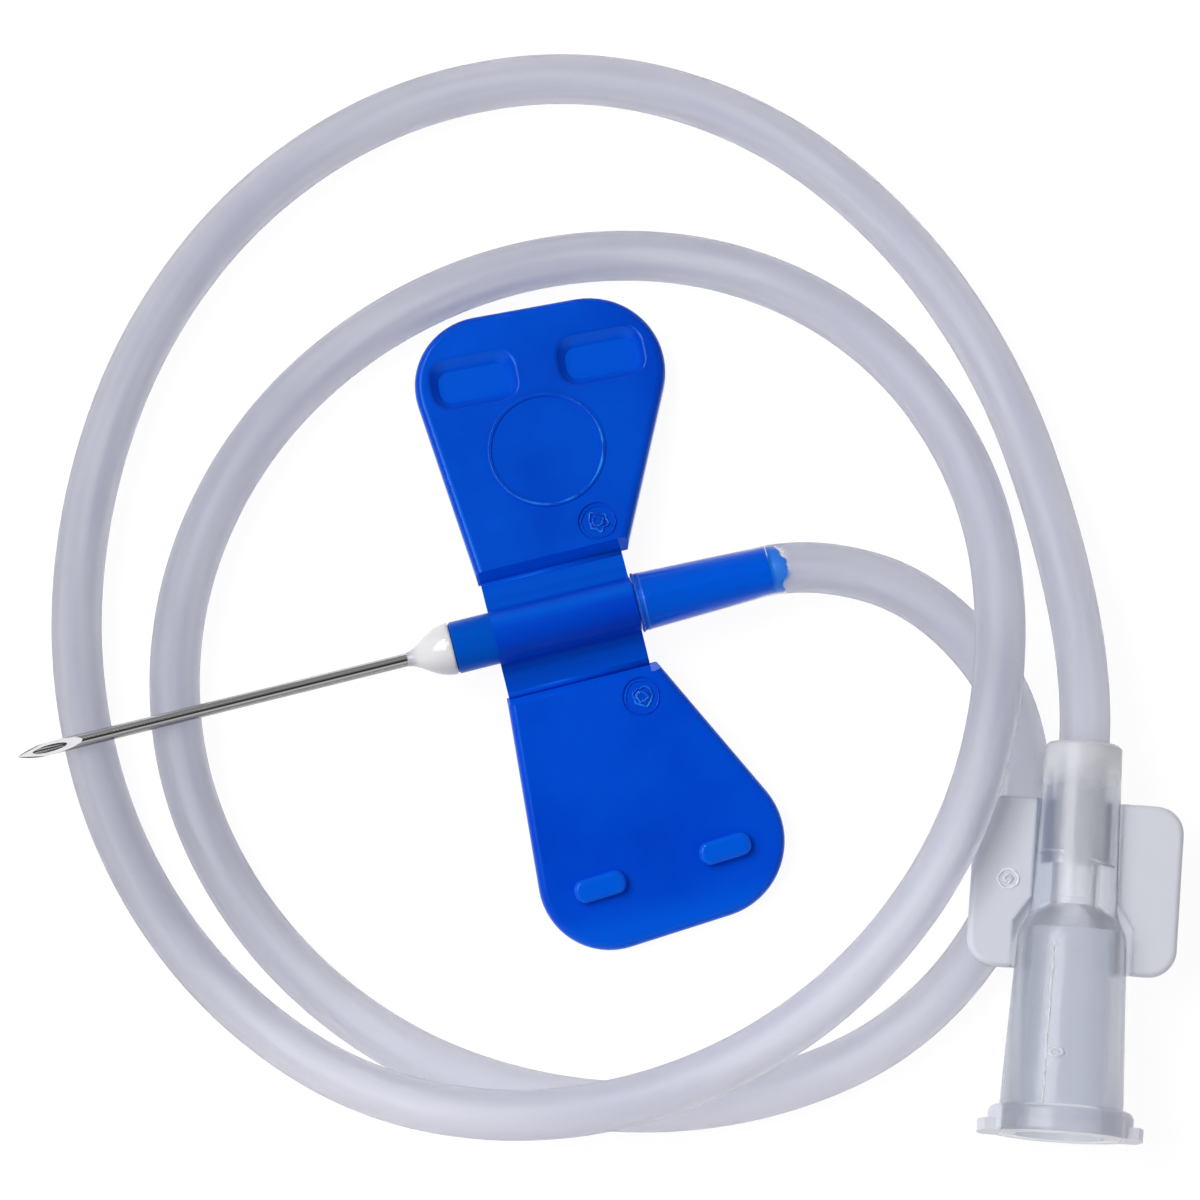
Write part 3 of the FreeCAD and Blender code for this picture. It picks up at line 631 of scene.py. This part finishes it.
def tubing_paint():
    """Frosted translucent tubing with pale streaks and painted light, lighter to the right and on
    its lower stretch, clear where it grips the spigot.
    """
    paint = Paint("tubing_clear", IOR=1.54, Specular_IOR_Level=0.25)
    cloud = paint.noise(500, 3.0)
    ragged = paint.between(paint.noise(2600, 2.0), -0.35 * MM, 0.35 * MM)
    ahead = paint.reach((1, 0, 0))
    aside = paint.reach((0, 1, 0))
    bulge = paint.math(
        "SUBTRACT", paint.between(aside, CLEAR_BULGE, 0.0, *CLEAR_UPPER_SPAN, True),
        paint.between(aside, CLEAR_LOWER_LOSS, 0.0, *CLEAR_LOWER_SPAN, True)
    )
    along = paint.math("ADD", paint.math("SUBTRACT", ahead, bulge), ragged)
    near_axis = paint.math("LESS_THAN", paint.math("ABSOLUTE", aside), CLEAR_WIDTH)
    behind_origin = paint.math("GREATER_THAN", along, 0.0)
    to_spigot_end = paint.fall(along, *CLEAR_END, False)
    clear = paint.math(
        "MULTIPLY", near_axis, paint.math("MULTIPLY", behind_origin, to_spigot_end)
    )
    # Painted light: lighter towards +X and on the lower stretch towards -Y
    right = paint.rise(ahead, *FROST_SPAN, False)
    low = paint.fall(aside, *FROST_LOW_LIGHT_SPAN)
    frosted = paint.blend(low, paint.blend(right, FROST_LEFT_SHADE, FROST_RIGHT_LIGHT), FROST_LOW_LIGHT)
    frosted = paint.blend(paint.between(cloud, 0.0, 0.3), frosted, FROST_CLOUD)
    streak = paint.add("Attribute", attribute_name="streak").outputs["Fac"]
    frosted = paint.blend(paint.between(streak, 0.0, 0.36, 0.2, 0.9), frosted, WHITE)
    paint.drive("Base Color", paint.blend(clear, frosted, CLEAR_TUBE))
    paint.drive("Specular Tint", paint.blend(clear, WHITE, CLEAR_GLOSS))
    paint.drive("Transmission Weight", paint.between(clear, 0.85, 1.0))
    paint.drive("Roughness", paint.between(clear, 0.58, 0.16))
    return paint.material


def luer_paint():
    """Milky clear moulded plastic: hazier grips, a whitish entry, and painted shade on its left
    side and on the stem walls, darker on the left.
    """
    paint = Paint("luer_clear", IOR=1.45, Specular_IOR_Level=0.22)
    axis, across, _ = luer_frame()
    wide = paint.reach(across, LUER_ENTRY)
    along = paint.reach(axis, LUER_ENTRY)
    off_axis = paint.math("ABSOLUTE", wide)
    milky = paint.blend(paint.noise(500, 3.0), *LUER_MILK)
    # Painted shade: darker on the connector's left side
    body = paint.blend(paint.fall(wide, *LUER_LEFT_SHADE_SPAN), milky, LUER_LEFT_SHADE)
    beside = paint.between(along, GRIP_INNER, BARREL_ROOT + 0.15 * MM, *GRIP_STEP)
    grip = paint.rise(paint.math("SUBTRACT", off_axis, beside), *GRIP_EDGE_SPAN)
    ragged = paint.between(paint.noise(800, 2.0), -0.7 * MM, 0.7 * MM)
    entry = paint.between(paint.math("ADD", along, ragged), 0.45, 0.0, *ENTRY_HAZE_SPAN, True)
    hazy = paint.math("MAXIMUM", grip, entry)
    # Painted shade on the stem walls, darker towards the left
    wall = paint.blend(paint.rise(wide, *STEM_WALL_SHADE_SPAN, False), *STEM_WALL_SHADES)
    outside = paint.math(
        "MULTIPLY", paint.rise(off_axis, *STEM_MIDDLE_SPAN), paint.rise(along, *STEM_START_SPAN)
    )
    stem = paint.blend(outside, STEM_MIDDLE, wall)
    body = paint.blend(paint.fall(along, *STEM_END), body, stem)
    paint.drive("Base Color", paint.blend(grip, body, GRIP_MILK))
    paint.drive("Transmission Weight", paint.between(hazy, 0.74, 0.15))
    paint.drive("Roughness", paint.between(hazy, 0.20, 0.35))
    ripple = paint.math("MULTIPLY", grip, paint.noise(2200, 3.0, (0.3, 1, 1)))
    paint.bump(ripple, 0.5, 0.04 * MM)
    return paint.material


def luer_mark_paint():
    """Whitish flecks and grey gaps of the connector's raised marks."""
    paint = Paint("luer_marks", Roughness=0.25)
    flecks = paint.rise(paint.noise(2600, 3.0), 0.40, 0.60, False)
    paint.drive("Base Color", paint.blend(flecks, *MARK_WHITES))
    return paint.material


def bond_paint():
    """Bright blue adhesive."""
    paint = Paint("bond_blue", IOR=1.45, Roughness=0.3)
    paint.drive("Base Color", paint.blend(paint.noise(2500, 3.0), *BOND_BLUES))
    return paint.material


def dress(node, material):
    """Gives a CAD node its finish."""
    mesh = bpy.data.objects[node].data
    mesh.materials.clear()
    mesh.materials.append(material)


def spline_points(points):
    """Points along the smooth line whose control points are given."""
    data = bpy.data.curves.new("route", "CURVE")
    data.dimensions = "3D"
    data.resolution_u = 16
    spline = data.splines.new("NURBS")
    spline.points.add(len(points) - 1)
    for knot, point in zip(spline.points, points):
        knot.co = (*point, 1)
    spline.order_u = 3
    spline.use_endpoint_u = True
    curve = bpy.data.objects.new("route", data)
    bpy.context.collection.objects.link(curve)
    bpy.context.view_layer.update()
    mesh = bpy.data.meshes.new_from_object(curve)
    line = [vertex.co.copy() for vertex in mesh.vertices]
    bpy.data.meshes.remove(mesh)
    bpy.data.objects.remove(curve)
    return line


def frames_along(line):
    """Point, heading and two cross directions at each point, without twist."""
    frames = []
    across = Vector((0, 0, 1))
    for index, point in enumerate(line):
        before = line[max(index - 1, 0)]
        after = line[min(index + 1, len(line) - 1)]
        heading = (after - before).normalized()
        across = (across - heading * across.dot(heading)).normalized()
        frames.append((point, heading, across, heading.cross(across)))
    return frames


def ring_loft(name, rings, closed=True):
    """Mesh through rings of equal count; closed joins the last ring to the first."""
    sides = len(rings[0])
    vertices = [point for ring in rings for point in ring]
    faces = []
    count = len(rings) if closed else len(rings) - 1
    for row in range(count):
        here = row * sides
        there = (row + 1) % len(rings) * sides
        for side in range(sides):
            after = (side + 1) % sides
            faces.append((here + side, here + after, there + after, there + side))
    mesh = bpy.data.meshes.new(name)
    mesh.from_pydata(vertices, [], faces)
    mesh.polygons.foreach_set("use_smooth", [True] * len(mesh.polygons))
    mesh.update()
    piece = bpy.data.objects.new(name, mesh)
    bpy.context.collection.objects.link(piece)
    return piece


def turns(count):
    """Angles of so many even steps round a circle."""
    return [2 * math.pi * step / count for step in range(count)]


def loop(centre, first, second, count):
    """Points round a centre; first and second are the radii at no turn and at a quarter."""
    return [
        centre + first * math.cos(turn) + second * math.sin(turn) for turn in turns(count)
    ]


def circle(frame_here, radius, shift):
    """Ring of points round one place on the line; shift moves each along the heading."""
    point, heading, across, side = frame_here
    return [
        point + across * radius * math.cos(turn) + side * radius * math.sin(turn)
        + heading * shift(turn) for turn in turns(TUBE_SIDES)
    ]


def travelled(line):
    """Distance from the line's start to each point."""
    reached = [0.0]
    for before, after in zip(line, line[1:]):
        reached.append(reached[-1] + (after - before).length)
    return reached


def add_tubing(line, material):
    """Hollow tube along the line, stretched over the spigot and cut aslant at its far end."""
    frames = frames_along(line)
    reached = travelled(line)

    def aslant(turn):
        """How far the slanted cut moves a point along the tubing, at an angle from the top."""
        return -lean * (1 + math.sin(turn))

    outer = []
    inner = []
    for frame_here, along in zip(frames, reached):
        stretch = max(0.0, 1 - along / COLLAR_LENGTH)
        lean = max(0.0, 1 - (reached[-1] - along) / CUT_RUN) * CUT_LEAN
        wall = TUBE_OUTER + (COLLAR_OUTER - TUBE_OUTER) * stretch
        bore = TUBE_BORE + (SPIGOT_ROOT - TUBE_BORE) * stretch
        if along < SPIGOT_END - TUBE_MOUTH + BOND_REACH:
            bore -= BOND_SQUEEZE
        outer.append(circle(frame_here, wall, aslant))
        inner.append(circle(frame_here, bore, aslant))
    tubing = ring_loft("tubing_soft", outer + inner[::-1])
    streaks = tubing.data.attributes.new("streak", "FLOAT", "POINT")
    for ring, along in enumerate(reached + reached[::-1]):
        for corner, turn in enumerate(turns(TUBE_SIDES)):
            place = Vector((
                STREAK_CELLS * math.cos(turn), STREAK_CELLS * math.sin(turn), along / STREAK_RUN
            ))
            streaks.data[ring * TUBE_SIDES + corner].value = 0.5 + noise.noise(place)
    tubing.data.materials.append(material)
    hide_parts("tubing")
    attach(tubing, "needle_set")
    return tubing


def dressed(piece, material, body):
    """Gives a new piece its finish and the body that it rides on."""
    piece.data.materials.append(material)
    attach(piece, body)
    return piece


def add_bond(line, material):
    """Ragged collar of adhesive that runs into the tubing past the end of the spigot."""
    reached = travelled(line)
    frames = frames_along(line)
    start = SPIGOT_END - TUBE_MOUTH

    def frame_at(distance):
        """Frame of the tubing at a distance from its mouth."""
        index = max(i for i, along in enumerate(reached) if along <= distance)
        point, heading, across, side = frames[index]
        return point + heading * (distance - reached[index]), heading, across, side

    def ragged(turn):
        """How much further than its mean the collar runs, at an angle from the top."""
        aside = math.sin(turn)
        ripple = noise.noise(Vector((math.cos(turn), aside, 0.3)) * BOND_CELLS)
        return (BOND_LEAN * aside - BOND_HOLLOW * aside ** 2 + BOND_RIPPLE * ripple) * MM

    def shift(turn):
        """The ragged run, grown from none at the spigot to the whole of it at the rim."""
        return share * ragged(turn)

    outer = []
    inner = []
    for share in BOND_STATIONS:
        here = frame_at(start + share * BOND_REACH)
        outer.append(circle(here, BOND_OUTER if share < 1 else BOND_RIM, shift))
        inner.append(circle(here, BOND_BORE, shift))
    piece = ring_loft("bond_collar", outer + inner[::-1])
    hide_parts("tubing_bond")
    return dressed(piece, material, "needle_set")


def add_adhesive_cone(material):
    """Full smooth cone of adhesive from the needle to the hub's rim."""
    stations = [(CONE_TIP[0], CONE_BORE), CONE_TIP]
    for step in range(1, CONE_STEPS + 1):
        share = step / CONE_STEPS
        rest = 1 - share
        weights = (rest ** 3, 3 * share * rest ** 2, 3 * share ** 2 * rest, share ** 3)
        stations.append(tuple(
            sum(weight * pole[part] for weight, pole in zip(weights, CONE_POLES))
            for part in (0, 1)
        ))
    stations += [CONE_BACK, (CONE_BACK[0], CONE_BORE)]
    rings = [
        loop(
            Vector((CONE_FRONT + along * MM, 0, AXIS_HEIGHT)),
            Vector((0, 0, radius * MM)), Vector((0, radius * MM, 0)), CONE_SIDES
        )
        for along, radius in stations
    ]
    piece = ring_loft("adhesive_cone", rings)
    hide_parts("needle_adhesive")
    dressed(piece, material, "needle_set")


def add_mouth_lips(material):
    """Two soft lips where the tubing's cut end is pushed against the sleeve."""
    for number, (place, radius, thickness) in enumerate(MOUTH_LIPS):
        middle = Vector((TUBE_MOUTH + place * MM, 0, AXIS_HEIGHT))
        rings = []
        for turn in turns(LIP_STEPS):
            out = Vector((0, math.sin(turn), math.cos(turn)))
            rings.append(loop(
                middle + out * radius * MM, out * thickness * MM,
                Vector((thickness * MM, 0, 0)), LIP_SIDES
            ))
        piece = ring_loft("mouth_lip_%d" % number, rings)
        dressed(piece, material, "needle_set")


def plate_out(side):
    """Unit vector down a drooping wing plate, from its hinge to its tip."""
    slope = math.radians(PLATE_DROOP)
    return Vector((0, side * math.cos(slope), -math.sin(slope)))


def plate_place(side, x, reach, height):
    """Point over a wing plate: x along the needle, reach from the hinge, height above it."""
    slope = math.radians(PLATE_DROOP)
    return Vector((
        x,
        side * (HINGE_OFFSET + reach * math.cos(slope) + height * math.sin(slope)),
        HINGE_HEIGHT - reach * math.sin(slope) + height * math.cos(slope),
    ))


def wobbly_ring(name, centre, first, second, radius, wobble, thickness, seed):
    """Thin uneven raised ring in the plane of two directions."""
    rise = first.cross(second)
    rings = []
    for turn in turns(RING_STEPS):
        out = first * math.cos(turn) + second * math.sin(turn)
        bend = noise.noise(out * RING_BENDS + Vector((seed, 0, 0)))
        lift = noise.noise(out * RING_LIFTS + Vector((0, seed, 0))) * RING_LIFT_SHARE
        middle = centre + out * (radius + wobble * bend) + rise * thickness * lift
        rings.append(loop(middle, out * thickness, rise * thickness, RIDGE_SIDES))
    return ring_loft(name, rings)


def add_gate_scars(material, plates):
    """Uneven rings where the gates were cut off; the outermost has the plate's own material."""
    for side, body, plate in zip((1, -1), ("socket_wing", "peg_wing"), plates):
        for number, (radius, wobble, thickness, height) in enumerate(GATE_SCARS):
            rise = PLATE_FACE - GATE_DEPTH + height * MM
            piece = wobbly_ring(
                "gate_scar_%s_%d" % (body, number),
                plate_place(side, GATE_FRONT, GATE_REACH, rise),
                Vector((1, 0, 0)), plate_out(side) * side,
                radius * MM, wobble * MM, thickness * MM, 3.0 * number + side
            )
            last = number == len(GATE_SCARS) - 1
            dressed(piece, plate if last else material, body)


def add_ring_crest(material):
    """Round crest of the raised ring on the wing with the sockets."""
    centre = plate_place(1, SLEEVE_FRONT + RING_FRONT, RING_REACH, PLATE_FACE + RING_HEIGHT)
    piece = wobbly_ring(
        "ring_crest", centre, Vector((1, 0, 0)), plate_out(1), RING_RADIUS, 0.0,
        CREST_THICKNESS, 1.0
    )
    dressed(piece, material, "socket_wing")


def add_hinge_films(material):
    """Round bead of each living hinge, which the wing's end wall turns about."""
    for side, name in ((1, "hinge_film_socket"), (-1, "hinge_film_peg")):
        start = SLEEVE_FRONT + HINGE_END_GAP
        end = SLEEVE_END - HINGE_END_GAP
        rings = [
            loop(
                Vector((x, side * HINGE_OFFSET, HINGE_HEIGHT)),
                Vector((0, radius, 0)), Vector((0, 0, radius)), HINGE_SIDES
            )
            for x, radius in (
                (start, HINGE_BEAD_TIP), (start, HINGE_BEAD),
                (end, HINGE_BEAD), (end, HINGE_BEAD_TIP),
            )
        ]
        piece = ring_loft(name, rings, closed=False)
        dressed(piece, material, "needle_set")


def barrel_place(turn, along):
    """Point on the connector's barrel, turn from its top, with the way out and the way round."""
    axis, across, top = luer_frame()
    out = top * math.cos(turn) + across * math.sin(turn)
    share = (along - BARREL_START) / (BARREL_END - BARREL_START)
    radius = BARREL_ROOT + (BARREL_MOUTH - BARREL_ROOT) * share
    return LUER_ENTRY + axis * along + out * radius, out, axis.cross(out)


def add_parting_line(material):
    """Fine uneven ridge where the barrel's mould halves met, with a small nick beside it."""
    run = BARREL_END - BARREL_START - 2 * SEAM_END_GAP
    rings = []
    for step in range(SEAM_STEPS + 1):
        along = BARREL_START + SEAM_END_GAP + run * step / SEAM_STEPS
        sway = SEAM_SWAY * noise.noise(Vector((along / MM * SEAM_SWAY_CELLS, 0, 0)))
        ripple = SEAM_RIPPLE * noise.noise(Vector((along / MM * SEAM_RIPPLE_CELLS, 5.0, 0)))
        point, out, side = barrel_place(SEAM_TURN + sway, along)
        height = (SEAM_HEIGHT + ripple) * MM
        rings.append(loop(point, out * height, side * height, RIDGE_SIDES))
    ridge = ring_loft("parting_line", rings, closed=False)
    point, out, side = barrel_place(NICK_TURN, NICK_ALONG)
    nick = wobbly_ring(
        "barrel_nick", point, side, out.cross(side) * NICK_SQUASH, *NICK_SIZES, 4.0
    )
    return [dressed(piece, material, "needle_set") for piece in (ridge, nick)]


def add_ejector_mark(material):
    """Two small raised rings left by an ejector pin on one grip."""
    axis, across, top = luer_frame()
    wide, along = EJECTOR_MARK
    centre = LUER_ENTRY + across * wide + axis * along + top * GRIP_FACE
    marks = []
    for number, (radius, thickness) in enumerate(EJECTOR_RINGS):
        piece = wobbly_ring(
            "ejector_mark_%d" % number, centre, across, top.cross(across),
            radius * MM, EJECTOR_WOBBLE, thickness * MM, 7.0 + number
        )
        marks.append(dressed(piece, material, "needle_set"))
    return marks


def add_tube_end(line, material):
    """Whitish bead of adhesive round the slanted end of the tubing in the connector."""
    point, heading, across, side = frames_along(line)[-1]
    slant = side - heading * (CUT_LEAN / TUBE_OUTER)
    centre = point - heading * (CUT_LEAN + BEAD_BACK)
    piece = wobbly_ring(
        "tube_end_bead", centre, across, slant, TUBE_OUTER - BEAD_INSET, BEAD_WOBBLE,
        BEAD_THICKNESS, 9.0
    )
    return dressed(piece, material, "needle_set")


def main():
    """Builds the studio, gives the CAD nodes their finishes and adds the new pieces."""
    add_camera()
    add_world()
    add_floor()
    for lamp in LAMPS:
        add_softbox(*lamp)
    dress("needle", steel_paint())
    dress("hub", hub_paint())
    sleeve_blue = sleeve_paint()
    socket_blue = plate_paint("socket_wing_blue", 1, SOCKET_BLUES, SOCKET_PAINTED_LIGHT, 0.2)
    peg_blue = plate_paint("peg_wing_blue", -1, PEG_BLUES, PEG_PAINTED_LIGHT, 0.8)
    dress("wing_sleeve", sleeve_blue)
    dress("wing_sockets", socket_blue)
    dress("wing_pegs", peg_blue)
    dress("luer_connector", luer_paint())
    line = spline_points(route_points())
    tubing_clear = tubing_paint()
    tubing = add_tubing(line, tubing_clear)
    bond = add_bond(line, bond_paint())
    add_adhesive_cone(adhesive_paint())
    add_mouth_lips(tubing_clear)
    add_gate_scars(mark_paint("scar_blue", SCAR_BLUES), (socket_blue, peg_blue))
    add_ring_crest(mark_paint("crest_blue", CREST_BLUES, PAINTED_GLINT_SIDE))
    add_hinge_films(sleeve_blue)
    luer_marks = luer_mark_paint()
    on_cord = [bpy.data.objects["luer_connector"], bond, add_tube_end(line, luer_marks)]
    on_cord += add_ejector_mark(luer_marks) + add_parting_line(luer_marks)
    scene = bpy.context.scene
    scene.view_settings.view_transform = "Standard"


main()
